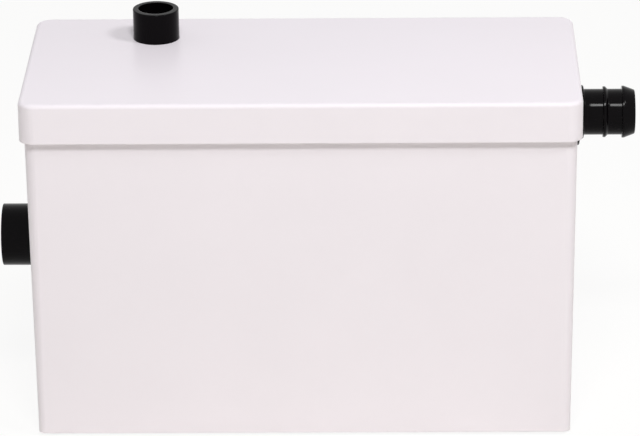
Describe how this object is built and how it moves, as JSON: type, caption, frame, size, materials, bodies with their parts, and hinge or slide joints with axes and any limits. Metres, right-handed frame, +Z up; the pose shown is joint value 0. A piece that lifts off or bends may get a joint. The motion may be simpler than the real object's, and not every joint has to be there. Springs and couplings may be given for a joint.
{
  "type": "macerator toilet pump",
  "caption": "Free-standing white waste box with a lift-off lid and black inlet and outlet stubs, holding a shredder basket, centrifugal pump, sealed motor and level switch.",
  "frame": {"origin": "on the floor, at the centre of the base", "axes": "+X to the outlet end, +Y to the toilet behind the box, +Z up"},
  "size_m": [0.4438, 0.2398, 0.2676],
  "materials": {
    "white_body": "satin white moulded plastic",
    "black_plastic": "satin black moulded plastic",
    "black_rubber": "matt black rubber",
    "grey_rubber": "matt grey rubber",
    "grey_plastic": "matt grey moulded plastic",
    "pale_plastic": "matt pale grey moulded plastic",
    "dark_plastic": "matt dark grey plastic",
    "steel": "bright stainless steel",
    "aluminium": "bare die-cast aluminium",
    "lamination": "varnished steel sheet stack",
    "copper": "varnished copper wire",
    "ceramic": "ground ceramic",
    "board": "lacquered circuit board",
    "red_plastic": "red moulded plastic",
    "brass": "spring brass"
  },
  "bodies": {
    "housing": {"base_mat": "grey_rubber", "tank": "white_body", "lid_gasket": "grey_rubber", "side_inlet_stub": "black_plastic", "side_inlet_gasket": "grey_rubber", "side_inlet_screws": "steel", "outlet_hose_tail": "black_plastic", "outlet_gasket": "black_rubber", "outlet_lock_nut": "black_plastic", "wc_sleeve": "black_rubber", "wc_sleeve_clips": "steel", "cable_gland": "dark_plastic", "gland_lock_nut": "dark_plastic", "pump_mounts": "black_rubber", "pump_base": "grey_plastic", "pump_casing": "grey_plastic", "pump_screws": "steel", "macerator_basket": "pale_plastic", "riser_hose": "black_rubber", "hose_clips": "steel", "check_valve_body": "grey_plastic", "check_valve_screws": "steel", "flap_pins": "steel", "discharge_elbow": "grey_plastic", "motor_bottle": "aluminium", "motor_cap": "aluminium", "motor_cap_seal": "black_rubber", "motor_cap_screws": "steel", "motor_bridge": "pale_plastic", "bridge_screws": "steel", "stator_core": "lamination", "stator_windings": "copper", "ball_bearings": "steel", "seal_seat": "ceramic", "motor_lead": "dark_plastic", "control_box": "dark_plastic", "control_box_cover": "dark_plastic", "control_box_screws": "steel", "circuit_board": "board", "run_capacitor": "pale_plastic", "pressure_bell": "dark_plastic", "switch_diaphragm": "black_rubber", "plunger_spring": "steel", "microswitch_body": "dark_plastic"},
    "lid_cover": {"lid": "white_body", "top_inlet_stub": "black_plastic", "top_inlet_gasket": "grey_rubber", "top_inlet_screws": "steel"},
    "rotor": {"shaft": "steel", "rotor_core": "lamination", "bearing_inner_rings": "steel", "cutter_knife": "steel", "impeller": "dark_plastic", "impeller_nut": "steel", "seal_head": "black_rubber"},
    "inlet_flap": {"side_inlet_flap": "black_rubber"},
    "valve_flap": {"check_valve_flap": "black_rubber"},
    "plunger": {"switch_plunger": "pale_plastic"},
    "lever": {"switch_lever": "brass"},
    "button": {"switch_button": "red_plastic"}
  },
  "joints": [
    {"name": "lid_lift", "type": "slide", "parent": "housing", "child": "lid_cover", "axis": [0, 0, 1], "range_m": [0, 0.16]},
    {"name": "rotor_spin", "type": "hinge", "parent": "housing", "child": "rotor", "pos_m": [0, -0.004, 0.13], "axis": [0, 0, 1], "continuous": true},
    {"name": "inlet_flap_swing", "type": "hinge", "parent": "housing", "child": "inlet_flap", "pos_m": [-0.16128, 0, 0.1438], "axis": [0, -1, 0], "range_deg": [0, 60]},
    {"name": "valve_flap_swing", "type": "hinge", "parent": "housing", "child": "valve_flap", "pos_m": [0.12102, 0.045, 0.1163], "axis": [0, -1, 0], "range_deg": [0, 60]},
    {"name": "plunger_rise", "type": "slide", "parent": "housing", "child": "plunger", "axis": [0, 0, 1], "range_m": [0, 0.0015], "stiffness_N_per_m": 300, "springref_m": -0.002, "deforming": ["plunger_spring", "switch_diaphragm"]},
    {"name": "lever_tilt", "type": "hinge", "parent": "housing", "child": "lever", "pos_m": [0.10334, -0.04834, 0.2242], "axis": [0, -1, 0], "range_deg": [0, 8.6]},
    {"name": "button_press", "type": "slide", "parent": "housing", "child": "button", "axis": [0, 0, 1], "range_m": [0, 0.00075]}
  ],
  "couplings": [
    {"joint": "lever_tilt", "follows": "plunger_rise", "rad_per_m": 100},
    {"joint": "button_press", "follows": "plunger_rise", "ratio": 0.5}
  ]
}
